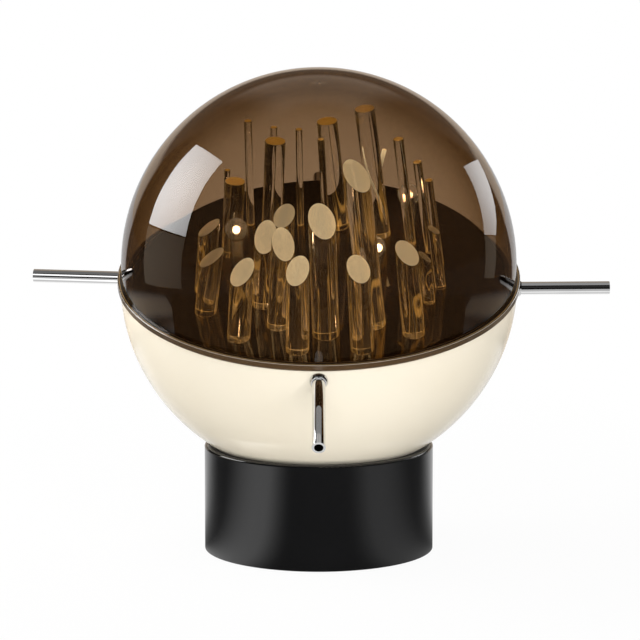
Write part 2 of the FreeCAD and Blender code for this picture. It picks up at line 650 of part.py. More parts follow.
make_drum()
make_floor()
make_grommet()
make_seat()
make_bowl()
make_dome()
make_handles()
make_plate()
make_stem()
make_rods()
make_bulbs()
make_leads()
doc.recompute()

for item in doc.Objects:
    if "Invalid" in item.State or "Error" in item.State:
        raise ValueError(f"{item.Name} is {item.State}")
os.makedirs("parts", exist_ok=True)
for label, item in nodes.items():
    if item.Shape.isNull() or not item.Shape.isValid():
        raise ValueError(f"{label} has no valid shape")
    item.Shape.exportStep(f"parts/{label}.step")
print(len(nodes), "nodes")
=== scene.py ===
# %% [markdown]
# The lamp is a ball of two half shells that leans forward in an open drum. The lower shell is an
# ivory bowl with four chrome tubes, the upper one a smoked dome, and inside a black mirror plate
# carries clear rods and three small bulbs. Every hard piece comes finished from the construction
# model, so this script gives those pieces their surfaces, and makes anew only what needs a finer
# shape. Everything is in metres, X to the right, Z up, and the lamp looks towards -Y.

# %% Load the construction model
import math

import bmesh
import bpy
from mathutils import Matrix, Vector


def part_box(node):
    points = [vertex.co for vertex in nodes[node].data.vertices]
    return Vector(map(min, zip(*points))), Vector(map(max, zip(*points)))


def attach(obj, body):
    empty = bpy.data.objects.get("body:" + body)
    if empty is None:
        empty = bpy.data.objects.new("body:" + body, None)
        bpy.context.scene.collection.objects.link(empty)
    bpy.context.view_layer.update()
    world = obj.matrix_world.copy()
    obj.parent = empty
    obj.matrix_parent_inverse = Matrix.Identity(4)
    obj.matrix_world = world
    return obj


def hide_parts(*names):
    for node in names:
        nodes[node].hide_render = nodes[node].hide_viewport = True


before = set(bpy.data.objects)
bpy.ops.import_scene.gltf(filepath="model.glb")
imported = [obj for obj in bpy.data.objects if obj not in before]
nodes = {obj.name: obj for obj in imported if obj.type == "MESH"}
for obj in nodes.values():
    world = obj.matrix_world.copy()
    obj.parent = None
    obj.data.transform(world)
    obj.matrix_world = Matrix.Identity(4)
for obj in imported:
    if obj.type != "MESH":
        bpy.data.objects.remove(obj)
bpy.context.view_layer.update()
MM = 0.001

# %% [markdown]
# The photograph was taken from about four metres with a long lens, so upright edges stay upright
# and the ball looks round. A real lens needs no shift for that: the camera stands a little higher
# than the lamp and looks down by about ten degrees.

# %% Camera
LENS = 225
LOOK_DOWN = math.radians(9.6)
CAMERA_PLACE = (0.0012, -4.0042, 0.9135)

camera_data = bpy.data.cameras.new("camera")
camera_data.lens = LENS
camera = bpy.data.objects.new("camera", camera_data)
camera.location = CAMERA_PLACE
camera.rotation_euler = (math.pi / 2 - LOOK_DOWN, 0, 0)
bpy.context.scene.collection.objects.link(camera)
bpy.context.scene.camera = camera
bpy.context.scene.view_settings.view_transform = "Standard"
print("camera", tuple(camera.location))

# %% [markdown]
# A finish is a small tree of nodes. Written by hand, such trees hide the idea behind dozens of
# links, so two helpers carry them: a Field is a socket that can stand in an ordinary sum, and a
# Finish makes any node in one call. `1 - mask` then reads as what it means.


# %% Sums on sockets
class Field:
    """A socket that can stand in a sum. Each operator adds one Math node."""

    def __init__(self, finish, socket):
        self.finish, self.socket = finish, socket

    def maths(self, operation, *terms):
        return self.finish.add("ShaderNodeMath", {"operation": operation}, dict(enumerate(terms)))

    def __add__(self, other):
        return self.maths("ADD", self, other)

    __radd__ = __add__

    def __mul__(self, other):
        return self.maths("MULTIPLY", self, other)

    __rmul__ = __mul__

    def __sub__(self, other):
        return self.maths("SUBTRACT", self, other)

    def __rsub__(self, other):
        return self.maths("SUBTRACT", other, self)

    def __truediv__(self, other):
        return self.maths("DIVIDE", self, other)

    def larger(self, other):
        return self.maths("MAXIMUM", self, other)

    def size(self):
        return self.maths("ABSOLUTE", self)

    def step(self, low, high):
        """0 below low, 1 above high, and smooth between."""
        return self.finish.add(
            "ShaderNodeMapRange",
            {"interpolation_type": "SMOOTHSTEP"},
            {"Value": self, "From Min": low, "From Max": high},
        )

    def band(self, low, high, rise, fall):
        """1 between low and high, with edges that are soft by rise and fall to each side."""
        return self.step(low - rise, low + rise) * (1 - self.step(high - fall, high + fall))


# %% Finishes
class Finish:
    """A tree of nodes. add() makes any node and hands back one of its outputs."""

    outlet = "ShaderNodeOutputMaterial"

    def __init__(self, owner):
        owner.use_nodes = True
        self.owner, self.tree = owner, owner.node_tree
        self.tree.nodes.clear()

    def add(self, kind, settings=None, inputs=None, output=0):
        node = self.tree.nodes.new(kind)
        for name, value in (settings or {}).items():
            setattr(node, name, value)
        for name, value in (inputs or {}).items():
            if isinstance(value, Field):
                self.tree.links.new(value.socket, node.inputs[name])
            else:
                node.inputs[name].default_value = value
        return Field(self, node.outputs[output]) if node.outputs else None

    def place(self):
        return self.add("ShaderNodeTexCoord", output="Object")

    def vectors(self, operation, first, second=None, output="Vector"):
        """A sum of vectors or colours; its second term is left out where it has none."""
        inputs = {0: first} if second is None else {0: first, 1: second}
        return self.add("ShaderNodeVectorMath", {"operation": operation}, inputs, output)

    def distance(self, point):
        return self.vectors("DISTANCE", self.place(), point, "Value")

    def split(self, vector):
        kind = "ShaderNodeSeparateXYZ"
        return [self.add(kind, None, {0: vector}, output=axis) for axis in "XYZ"]

    def noise(self, scale, detail=2, where=None):
        inputs = {"Vector": where or self.place(), "Scale": scale, "Detail": detail}
        return self.add("ShaderNodeTexNoise", None, inputs)

    def mark(self, name, output="Fac"):
        """What each point of the mesh carries under this name."""
        return self.add("ShaderNodeAttribute", {"attribute_name": name}, output=output)

    def drawn_out(self, scales, detail):
        """A noise with its own scale along each axis."""
        return self.noise(1, detail, self.vectors("MULTIPLY", self.place(), scales))

    def tint(self, factor, colour_a, colour_b):
        """Between two colours: sockets 6 and 7 of Mix are its colours, and output 2."""
        return self.add(
            "ShaderNodeMix",
            {"data_type": "RGBA"},
            {0: factor, 6: full(colour_a), 7: full(colour_b)},
            output=2,
        )

    def bump(self, height, depth, strength=1.0):
        return self.add(
            "ShaderNodeBump", None, {"Height": height, "Distance": depth, "Strength": strength}, "Normal"
        )

    def surface(self, **sockets):
        """A Principled surface. A socket's name is written with _ for its blanks."""
        inputs = {name.replace("_", " "): value for name, value in sockets.items()}
        if isinstance(inputs.get("Base Color"), tuple):
            inputs["Base Color"] = full(inputs["Base Color"])
        return self.add("ShaderNodeBsdfPrincipled", None, inputs)

    def end(self, surface, volume=None):
        inputs = {"Surface": surface}
        if volume:
            inputs["Volume"] = volume
        self.add(self.outlet, None, inputs)
        return self.owner


def full(colour):
    """A colour socket takes four numbers."""
    return (*colour, 1) if isinstance(colour, tuple) else colour


def new_finish(name):
    return Finish(bpy.data.materials.new(name))


print("helpers ready")

# %% [markdown]
# Ivory bowl: glossy moulded acrylic, a warm white that is never one flat tone. Two slow clouds of
# noise move its colour and gloss by a hair, and a very fine bump breaks the reflections as polished
# plastic does.

# %% Ivory
IVORY_PALE = (0.90, 0.835, 0.70)
IVORY_DEEP = (0.86, 0.775, 0.62)


def make_ivory():
    finish = new_finish("ivory_gloss")
    cloud = finish.noise(7, 3)
    peel = finish.noise(900, 1)
    return finish.end(
        finish.surface(
            Base_Color=finish.tint(cloud, IVORY_DEEP, IVORY_PALE),
            Roughness=cloud * 0.08 + 0.10,
            Normal=finish.bump(peel, 0.01 * MM, 0.2),
            IOR=1.49,
        )
    )


ivory = make_ivory()

# %% [markdown]
# Black pieces: the drum is glossy black plastic with faint polishing marks, and the seat, the
# lampholders and the rubber pieces are duller. The gloss comes from the roughness, so the same few
# nodes serve all of them with other numbers.


# %% Blacks
def make_black(name, shade, rough, spread, grain, depth):
    finish = new_finish(name)
    cloud = finish.noise(14, 4)
    grains = finish.noise(grain, 2)
    pale = tuple(2.2 * part for part in shade)
    return finish.end(
        finish.surface(
            Base_Color=finish.tint(cloud, shade, pale),
            Roughness=cloud * spread + rough,
            Normal=finish.bump(grains, depth, 0.3),
            IOR=1.5,
        )
    )


black_gloss = make_black("black_gloss", (0.0024, 0.0024, 0.0026), 0.04, 0.05, 500, 0.006 * MM)
black_moulded = make_black("black_moulded", (0.010, 0.010, 0.011), 0.35, 0.15, 2500, 0.06 * MM)
black_rubber = make_black("black_rubber", (0.014, 0.013, 0.013), 0.6, 0.2, 1800, 0.1 * MM)

# %% [markdown]
# The mirror plate is black glass-like acrylic. It mirrors more than plain acrylic would, warm light
# above all, so that the rods' golden lines go on below their feet. Its broken edge shows as a
# hair-thin golden line, which is a painted highlight: the last millimetre of its radius is a satin
# amber colour. The plate's own points tell where its middle and rim are.


# %% Mirror plate
PLATE_RIM = 1.6 * MM
RIM_PAINTED_HIGHLIGHT = (0.85, 0.60, 0.32)
PLATE_SHADE = (0.012, 0.0055, 0.0015)
PLATE_IOR = 2.6


def make_mirror_plate(plate):
    finish = new_finish("black_mirror")
    cloud = finish.noise(14, 4)
    corners = [vert.co for vert in plate.data.vertices]
    middle = sum(corners, Vector()) / len(corners)
    rim = max((corner - middle).length for corner in corners)
    # The last millimetre of the radius is a painted highlight: a satin amber colour that draws the
    # edge's golden line.
    painted_highlight_rim = finish.distance(middle).step(rim - PLATE_RIM, rim - 0.5 * PLATE_RIM)
    return finish.end(
        finish.surface(
            Base_Color=finish.tint(painted_highlight_rim, PLATE_SHADE, RIM_PAINTED_HIGHLIGHT),
            Roughness=cloud * 0.02 + 0.01 + 0.3 * painted_highlight_rim,
            Specular_Tint=(1.0, 0.80, 0.55, 1),
            IOR=PLATE_IOR,
        )
    )


black_mirror = make_mirror_plate(nodes["mirror_plate"])

# %% [markdown]
# Metals: chrome on the tubes and collars, zinc on the hidden hardware, brass on the bulbs' caps.
# A metal is a mirror whose colour tints what it shows, so only a little unevenness in roughness
# and a fine grain separate one from another.


# %% Metals
def make_metal(name, shade, rough, spread, grain, depth):
    finish = new_finish(name)
    cloud = finish.noise(60, 3)
    grains = finish.noise(grain, 2)
    dull = tuple(0.86 * part for part in shade)
    return finish.end(
        finish.surface(
            Base_Color=finish.tint(cloud, dull, shade),
            Metallic=1.0,
            Roughness=cloud * spread + rough,
            Normal=finish.bump(grains, depth, 0.3),
        )
    )


chrome = make_metal("chrome", (0.80, 0.80, 0.80), 0.02, 0.05, 900, 0.004 * MM)
zinc = make_metal("zinc", (0.62, 0.63, 0.66), 0.28, 0.15, 1400, 0.03 * MM)
brass = make_metal("brass", (0.80, 0.58, 0.26), 0.18, 0.12, 900, 0.02 * MM)

# %% [markdown]
# Soft and dull: the felt under the drum is pressed fibre, so its colour is mottled and its bump
# deep; the leads and the terminal block are plain white plastic.


# %% Felt and white plastic
def make_dull(name, shade, pale, rough, grain, depth):
    finish = new_finish(name)
    fibre = finish.noise(grain, 6)
    return finish.end(
        finish.surface(
            Base_Color=finish.tint(fibre, shade, pale),
            Roughness=fibre * 0.1 + rough,
            Normal=finish.bump(fibre, depth, 0.6),
        )
    )


felt = make_dull("felt", (0.015, 0.015, 0.016), (0.05, 0.05, 0.052), 0.85, 700, 0.5 * MM)
white_plastic = make_dull("white_plastic", (0.70, 0.69, 0.66), (0.80, 0.79, 0.76), 0.35, 500, 0.02 * MM)

# %% [markdown]
# Smoked dome: clear brown acrylic. Its colour is in the depth of the wall, so the rim, where a
# line of sight runs longer inside the wall, is darker than the middle. A volume that absorbs light
# gives most of that by itself, and a little Layer Weight adds the rest, because a moulded dome is
# thicker down its sides. Its flange is seen edge on, so much wall deep that it looks like a solid
# brown band. Its brown is the smoke's own, but its brightness is painted light: a plain glossy brown
# is mixed in, a touch different at the front and at the sides. Its upper face gets a darker painted
# shade and a painted golden reflection line, and there is a painted pale highlight where its broken
# edge catches the light. Lamps can't find their way through refracting glass, so for their rays
# alone the wall is a plain tinted film.

# %% Smoked acrylic
SMOKE_DENSITY = 280.0
SMOKE_COLOUR = (0.451, 0.257, 0.009)
SMOKE_FILM = (0.62, 0.54, 0.45)
SMOKE_LIMB = (0.50, 0.42, 0.28)
ACRYLIC_IOR = 1.49
GLOBE_CENTRE = Vector((0, 0, 279.26 * MM))
GLOBE_AXIS = Vector((0, -math.sin(math.radians(16.5)), math.cos(math.radians(16.5))))
FLANGE_TOP = 3.5 * MM
# The flange's painted light, a touch different at the front and at the sides.
FLANGE_FRONT_PAINTED_LIGHT, FLANGE_SIDE_PAINTED_LIGHT = (0.11, 0.064, 0.031), (0.10, 0.066, 0.038)
# Painted shade on the flange's top face.
FLANGE_TOP_PAINTED_SHADE = (0.035, 0.022, 0.011)
# A painted golden reflection: a thin line on the flange's top face at this radius.
PAINTED_GLINT_RADIUS, FLANGE_PAINTED_GLINT = 202.0 * MM, (0.42, 0.27, 0.11)
# A painted highlight on the flange's broken edge.
FLANGE_PAINTED_HIGHLIGHT = (0.62, 0.54, 0.45)
PAINTED_FLANGE_SHARE = 0.75


def lamps_pass(finish, surface, film):
    lamp_ray = finish.add("ShaderNodeLightPath", output="Is Shadow Ray")
    clear = finish.add("ShaderNodeBsdfTransparent", None, {"Color": full(film)})
    return finish.add("ShaderNodeMixShader", None, {0: lamp_ray, 1: surface, 2: clear})


def above_flange(finish):
    """How far a place lies above the flange's top, along the globe's own axis."""
    along = finish.vectors("DOT_PRODUCT", finish.place(), GLOBE_AXIS, "Value")
    return along - (GLOBE_CENTRE.dot(GLOBE_AXIS) + FLANGE_TOP)


def make_smoke():
    finish = new_finish("smoked_acrylic")
    cloud = finish.noise(5, 2)
    limb = finish.add("ShaderNodeLayerWeight", None, {"Blend": 0.5}, "Facing")
    wall = finish.surface(
        Base_Color=finish.tint(limb.step(0.30, 0.68), (1.0, 1.0, 1.0), SMOKE_LIMB),
        Roughness=cloud * 0.008,
        IOR=ACRYLIC_IOR,
        Transmission_Weight=1.0,
    )
    height = above_flange(finish)
    # A painted highlight: a thin pale line on the outer wall just under the flange's top edge.
    painted_line = height.band(-0.45 * MM, -0.15 * MM, 0.05 * MM, 0.05 * MM)
    across = finish.split(finish.place())[0]
    # Painted light on the flange's outer wall, set by how far a place lies to the side.
    painted_wall_light = finish.tint(across.size().step(0.05, 0.17), FLANGE_FRONT_PAINTED_LIGHT, FLANGE_SIDE_PAINTED_LIGHT)
    # The painted golden reflection: a ring at one distance from the globe's centre.
    off_painted_glint = (finish.distance(GLOBE_CENTRE) - PAINTED_GLINT_RADIUS).size().step(0.3 * MM, 0.6 * MM)
    painted_top_shade = finish.tint(off_painted_glint, FLANGE_PAINTED_GLINT, FLANGE_TOP_PAINTED_SHADE)
    # The flange's top face gets a darker painted shade than its outer wall.
    shade = finish.tint(height.step(-0.15 * MM, -0.05 * MM), painted_wall_light, painted_top_shade)
    # The flange band: its brown is mostly painted light and painted shade.
    band = finish.surface(
        Base_Color=finish.tint(painted_line, shade, FLANGE_PAINTED_HIGHLIGHT),
        Roughness=cloud * 0.05 + 0.10,
        IOR=ACRYLIC_IOR,
    )
    # Where the painted brown band is mixed into the wall: on the flange, fading out just above its top.
    painted_flange_mask = PAINTED_FLANGE_SHARE * (1 - height.step(0.0, 0.4 * MM))
    body = finish.add("ShaderNodeMixShader", None, {0: painted_flange_mask, 1: wall, 2: band})
    smoke = finish.add(
        "ShaderNodeVolumeAbsorption", None, {"Color": full(SMOKE_COLOUR), "Density": SMOKE_DENSITY}
    )
    return finish.end(lamps_pass(finish, body, SMOKE_FILM), smoke)


smoked_acrylic = make_smoke()

# %% [markdown]
# Clear glass of the bulbs, with the faint waviness of blown glass.


# %% Bulb glass
def make_bulb_glass():
    finish = new_finish("bulb_glass")
    wave = finish.noise(120, 1)
    glass = finish.surface(
        Base_Color=(1.0, 1.0, 1.0),
        Roughness=wave * 0.04 + 0.16,
        Normal=finish.bump(wave, 0.1 * MM, 0.2),
        IOR=1.46,
        Transmission_Weight=1.0,
    )
    return finish.end(lamps_pass(finish, glass, (0.95, 0.95, 0.95)))


bulb_glass = make_bulb_glass()

# %% [markdown]
# Each node of the model keeps its shape and takes the finish that its slot in the record asks for.

# %% Finish the nodes of the model
SLOT_FINISHES = {
    "ivory_bowl": ivory,
    "black_drum": black_gloss,
    "mirror_black": black_mirror,
    "black_plastic": black_moulded,
    "rubber_black": black_rubber,
    "chrome": chrome,
    "zinc_steel": zinc,
    "brass": brass,
    "felt": felt,
    "white_plastic": white_plastic,
    "smoked_clear": smoked_acrylic,
    "glass_clear": bulb_glass,
}
for name, node in nodes.items():
    for place in node.material_slots:
        place.material = SLOT_FINISHES.get(place.material.name, place.material)
finished = [node for node in nodes.values() if node.material_slots[0].material in SLOT_FINISHES.values()]
print("finished nodes:", len(finished))

# %% [markdown]
# Clear rods: acrylic bar, sawn across and standing on the mirror plate. Most are cut at a slope and
# the cut is left frosted, so it catches the light that comes up the rod and glows cream; the tall
# ones are cut square and glow amber, as do all the feet. These glows are painted light that the
# faces give off themselves, and a sloping cut's painted glow is brighter the more it faces the
# front and dimmer towards the back. The model's rods have the right place and cut, but sharp
# edges. Real sawn edges are broken, and it is that narrow edge that sparkles, so each rod is copied,
# its two rims are bevelled, and its end faces get rings of points that carry how strongly each
# place glows.

# %% Rod shape
PLATE_NORMAL = Vector((-0.0297, -0.4287, 0.9029))
CUT_LIGHT = Vector((-0.12, -0.98, 0.05)).normalized()
EDGE_BREAK = 0.5 * MM
RING_WIDTH = 0.8 * MM
BACK_FROM, BACK_TO, BACK_PAINTED_DIMMING = -0.12, -0.05, 0.46
SLOPING_BELOW = 0.92
CREAM_MIDDLE, CREAM_EDGE = 0.93, 1.15
AMBER_MIDDLE, AMBER_EDGE = 0.53, 0.61
FOOT_MIDDLE, FOOT_EDGE = 0.0, 2.5
TALL_RISE = 2.0
STREAKS_AROUND = 4.0
STREAK_CHANGE = 1.1
# rod_26 carries a painted highlight down the right side of its wall.
STICK, STICK_PAINTED_HIGHLIGHT, STICK_FADE = "rod_26", 0.42, 1.6
END_CORNERS = 9


def end_faces(mesh):
    """The two flat ends are the only faces with many corners: the top one first."""
    ends = [face for face in mesh.faces if len(face.verts) > END_CORNERS]
    return sorted(ends, key=lambda face: -face.calc_center_median().dot(PLATE_NORMAL))


def mark_sides(mesh, foot, top, number, stretch):
    """Gives each point its height along the rod, and a place in the noise that turns with the rod."""
    rise = mesh.verts.layers.float.new("rise")
    around = mesh.verts.layers.float_vector.new("around")
    low, high = foot.calc_center_median(), top.calc_center_median()
    axis = high - low
    for vert in mesh.verts:
        share = (vert.co - low).dot(axis) / axis.length_squared
        out = (vert.co - low - share * axis).normalized()
        vert[rise] = stretch * share
        vert[around] = STREAKS_AROUND * out + Vector((0, 0, 10 * number + STREAK_CHANGE * share))


def shape_rod(node, number):
    mesh = bmesh.new()
    mesh.from_mesh(node.data)
    bmesh.ops.remove_doubles(mesh, verts=mesh.verts, dist=0.001 * MM)
    bmesh.ops.dissolve_limit(mesh, angle_limit=math.radians(0.5), verts=mesh.verts, edges=mesh.edges)
    rims = [edge for face in end_faces(mesh) for edge in face.edges]
    bmesh.ops.bevel(mesh, geom=rims, offset=EDGE_BREAK, segments=2, profile=0.5, affect="EDGES")
    # These marks carry the painted light that the end faces give off.
    painted_cream_glow, painted_amber_glow = mesh.verts.layers.float.new("painted_cream_glow"), mesh.verts.layers.float.new("painted_amber_glow")
    top, foot = end_faces(mesh)
    sloping = top.normal.dot(PLATE_NORMAL) < SLOPING_BELOW
    mark_sides(mesh, foot, top, number, 1 if sloping else TALL_RISE)
    rise = mesh.verts.layers.float["rise"]
    # rod_26 gets a painted highlight down the right half of its side, fading towards its foot.
    if node.name == STICK:
        middle_x = foot.calc_center_median().x
        for vert in mesh.verts:
            below = 1 - vert[rise] / TALL_RISE
            vert[painted_cream_glow] = STICK_PAINTED_HIGHLIGHT - STICK_FADE * below if vert.co.x > middle_x else 0
    # Painted light and shade on a sloping cut: its glow is brighter the more it faces the front, and
    # dimmer towards the back.
    back = min(1, max(0, (top.calc_center_median().y - BACK_FROM) / (BACK_TO - BACK_FROM)))
    painted_lit = (1 - BACK_PAINTED_DIMMING * back) * max(0, top.normal.dot(CUT_LIGHT)) ** 2
    at_top, at_foot = (painted_amber_glow, AMBER_MIDDLE, AMBER_EDGE), (painted_amber_glow, FOOT_MIDDLE, FOOT_EDGE)
    if sloping:
        at_top = (painted_cream_glow, CREAM_MIDDLE * painted_lit, CREAM_EDGE * painted_lit)
    for face, (layer, middle, edge) in ((top, at_top), (foot, at_foot)):
        for vert in face.verts:
            vert[layer] = edge
        bmesh.ops.inset_individual(mesh, faces=[face], thickness=RING_WIDTH, use_even_offset=True)
        for vert in face.verts:
            vert[layer] = middle
        for vert in bmesh.ops.poke(mesh, faces=[face])["verts"]:
            vert[layer] = middle
    return mesh


def add_piece(name, mesh, finish, body, smooth_below=30):
    """Makes an object of a bmesh, smooth except across edges sharper than the angle given."""
    data = bpy.data.meshes.new(name)
    mesh.to_mesh(data)
    mesh.free()
    data.polygons.foreach_set("use_smooth", [True] * len(data.polygons))
    data.set_sharp_from_angle(angle=math.radians(smooth_below))
    data.materials.append(finish)
    piece = bpy.data.objects.new(name, data)
    bpy.context.scene.collection.objects.link(piece)
    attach(piece, body)
    return piece


# %% [markdown]
# The finish reads those marks. Where one is strong the surface is frosted and gives off light, and
# a noise stretched along the height draws the fine streaks that the saw left in the frost. The
# sides are clear, but light from the bulbs runs to and fro inside a rod and leaves it in narrow
# golden streaks, most of them low down. Tracing that would take hours. Instead the lines where a
# slow noise passes through one value, like contour lines on a map, give off a little light, and so
# do the edges that are seen at a glancing angle.

# %% Rod finish
CREAM_GLOW = (1.20, 1.14, 0.85)
AMBER_GLOW = (0.58, 0.31, 0.04)
FROST_CREAM, FROST_AMBER = (0.75, 0.72, 0.64), (0.68, 0.51, 0.28)
SAW_STREAKS = (900, 900, 120)
STREAK_GLOW = (1.0, 0.60, 0.15)
STREAK_LEAST, STREAK_MOST, EDGE_MOST = 0.008, 0.62, 0.16
STREAK_LEVEL = 0.61
SAW_LEAST, SAW_CHANGE = 0.45, 1.1


def make_rod_finish():
    finish = new_finish("clear_rod_acrylic")
    painted_cream_glow, painted_amber_glow, rise = finish.mark("painted_cream_glow"), finish.mark("painted_amber_glow"), finish.mark("rise")
    cloud = finish.noise(160, 3)
    saw = finish.drawn_out(SAW_STREAKS, 2)
    off_line = finish.noise(1, 1, finish.mark("around", "Vector")) - STREAK_LEVEL
    streak = 1 - off_line.size().step(0.006, 0.022)
    edge = finish.add("ShaderNodeLayerWeight", None, {"Blend": 0.5}, "Facing").step(0.50, 0.75)
    frost = painted_cream_glow.larger(painted_amber_glow).step(0.02, 0.1)
    frosted = finish.tint(painted_amber_glow.step(0.02, 0.1), FROST_CREAM, FROST_AMBER)
    # Painted glow of the frosted ends: cream on sloping cuts, amber on square tops and on the feet.
    cream_light = finish.tint(painted_cream_glow * (SAW_LEAST + SAW_CHANGE * saw), (0.0, 0.0, 0.0), CREAM_GLOW)
    amber_light = finish.tint(painted_amber_glow, (0.0, 0.0, 0.0), AMBER_GLOW)
    drawn = STREAK_LEAST + STREAK_MOST * streak + EDGE_MOST * edge
    side = drawn * (1 - 0.9 * rise.step(0.0, 1.1)) * (1 - frost)
    side_light = finish.tint(side, (0.0, 0.0, 0.0), STREAK_GLOW)
    light = finish.vectors("ADD", finish.vectors("ADD", cream_light, amber_light), side_light)
    wall = finish.surface(
        Base_Color=finish.tint(frost, (1.0, 1.0, 1.0), frosted),
        Roughness=frost * 0.5 + cloud * 0.02,
        IOR=ACRYLIC_IOR,
        Transmission_Weight=1.0,
        Emission_Color=light,
        Emission_Strength=1.0,
    )
    return finish.end(lamps_pass(finish, wall, (0.9, 0.88, 0.84)))


rod_acrylic = make_rod_finish()

# %% Rods
rod_names = sorted(name for name in nodes if name.startswith("rod_"))
for number, name in enumerate(rod_names):
    rod = add_piece("clear_" + name, shape_rod(nodes[name], number), rod_acrylic, "globe")
    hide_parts(name)
print("rods:", len(rod_names))

# %% [markdown]
# Bulbs: the model has their glass and caps. What glows is a filament, drawn as a thick little
# spiral, because at this distance the eye sees its glare and not the wire. It is full in the middle
# and narrow at its ends, so that it looks round. The third bulb shows only as a golden crescent
# behind the rods, so its coil glows less, and the second coil stands a little aside of the rod in
# front of it. A warm point lamp in each coil lights the rods and the plate around it.

# %% Filaments
GLOW_COLOUR = (1.0, 0.80, 0.50)
GLOW_STRENGTH = 9.0
HIDDEN_COLOUR = (1.0, 0.58, 0.22)
HIDDEN_STRENGTH = 3.2
COIL_TURNS = 5
COIL_POINTS = 16
COIL_RADIUS = 3.0 * MM
COIL_HEIGHT = 7 * MM
WIRE_RADIUS = 0.6 * MM


def make_glow(name, colour, strength):
    finish = new_finish(name)
    cloud = finish.noise(300, 1)
    return finish.end(
        finish.surface(
            Base_Color=(0.3, 0.25, 0.2),
            Roughness=0.5,
            Emission_Color=finish.tint(cloud, colour, tuple(0.5 + 0.5 * part for part in colour)),
            Emission_Strength=strength,
        )
    )


filament_glow = make_glow("filament_glow", GLOW_COLOUR, GLOW_STRENGTH)
hidden_glow = make_glow("hidden_glow", HIDDEN_COLOUR, HIDDEN_STRENGTH)


def wire_piece(name, points, radius, finish, body):
    """A tube along points: a curve with a round bevel, made into a mesh."""
    curve = bpy.data.curves.new(name, "CURVE")
    curve.dimensions = "3D"
    spline = curve.splines.new("POLY")
    spline.points.add(len(points) - 1)
    for point, place in zip(spline.points, points):
        point.co = (*place, 1)
    curve.bevel_depth, curve.bevel_resolution, curve.use_fill_caps = radius, 2, True
    model = bpy.data.objects.new(name, curve)
    mesh = bmesh.new()
    mesh.from_mesh(bpy.data.meshes.new_from_object(model))
    bpy.data.objects.remove(model)
    return add_piece(name, mesh, finish, body, 60)


def coil_points(centre, axis, radius, height):
    """A spiral that is half as wide at its ends as in its middle."""
    side = axis.orthogonal().normalized()
    other = axis.cross(side)
    count = COIL_TURNS * COIL_POINTS
    points = []
    for i in range(count + 1):
        turn = i * math.tau / COIL_POINTS
        offset = side * math.cos(turn) + other * math.sin(turn)
        share = i / count - 0.5
        swell = math.sqrt(1 - 3 * share**2)
        points.append(centre + offset * radius * swell + axis * height * share)
    return points


# %% Bulbs
LAMP_POWER = 0.5
LAMP_RADIUS = 4 * MM
ASIDE = {1: 0, 2: 4.5 * MM, 3: 0}
HIDDEN_BULB = 3
BALL_RADIUS = 12 * MM
for number in (1, 2, 3):
    low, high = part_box(f"bulb_glass_{number}")
    centre = Vector(((low.x + high.x) / 2 + ASIDE[number], low.y + BALL_RADIUS, high.z - BALL_RADIUS))
    coil = coil_points(centre, PLATE_NORMAL.normalized(), COIL_RADIUS, COIL_HEIGHT)
    glow = hidden_glow if number == HIDDEN_BULB else filament_glow
    wire_piece(f"filament_{number}", coil, WIRE_RADIUS, glow, "globe")
    lamp_data = bpy.data.lights.new(f"bulb_light_{number}", "POINT")
    lamp_data.energy, lamp_data.color, lamp_data.shadow_soft_size = LAMP_POWER, GLOW_COLOUR, LAMP_RADIUS
    lamp = bpy.data.objects.new(f"bulb_light_{number}", lamp_data)
    lamp.location = centre
    bpy.context.scene.collection.objects.link(lamp)
    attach(lamp, "globe")
    print("bulb", number, tuple(round(part, 4) for part in centre))

# %% [markdown]
# The room: a wide pale floor and white beyond it. The camera sees both as pure white, and so does
# whatever looks through glass, but for a dimmer ceiling, which the mirror plate inside looks up to.
# Mirrors see a dark studio in which only a warm white backdrop stands behind the lamp and a panel
# hangs over it: that keeps the dome and the drum clear, and gives their rims a pale edge. Soft light
# comes from everywhere at a plain level. A ray knows what kind it is, which the Light Path node
# tells, so one world can hold all of this.

# %% World
SOFT_LIGHT = 0.64
BACKDROP_LIGHT = 0.65
BACKDROP_SIDE = 0.54
BACKDROP_TOP = 0.20
UPPER_GLOW = 0.13
DARK_ROOM = 0.004
TOP_PANEL = 0.42
TOP_PANEL_SIDE = 0.28
CEILING_FROM, CEILING_TO = 0.50, 0.75
CEILING_DIMMING = 0.90
MIRRORED_WARM = (0.90, 0.76, 0.62)
GLOW_TOP = 0.8
PANEL_FROM, PANEL_TO, PANEL_EDGE = 0.45, 0.90, 0.05


def ray_kinds(finish):
    kinds = ("Camera", "Glossy", "Transmission")
    return [finish.add("ShaderNodeLightPath", output=f"Is {kind} Ray") for kind in kinds]


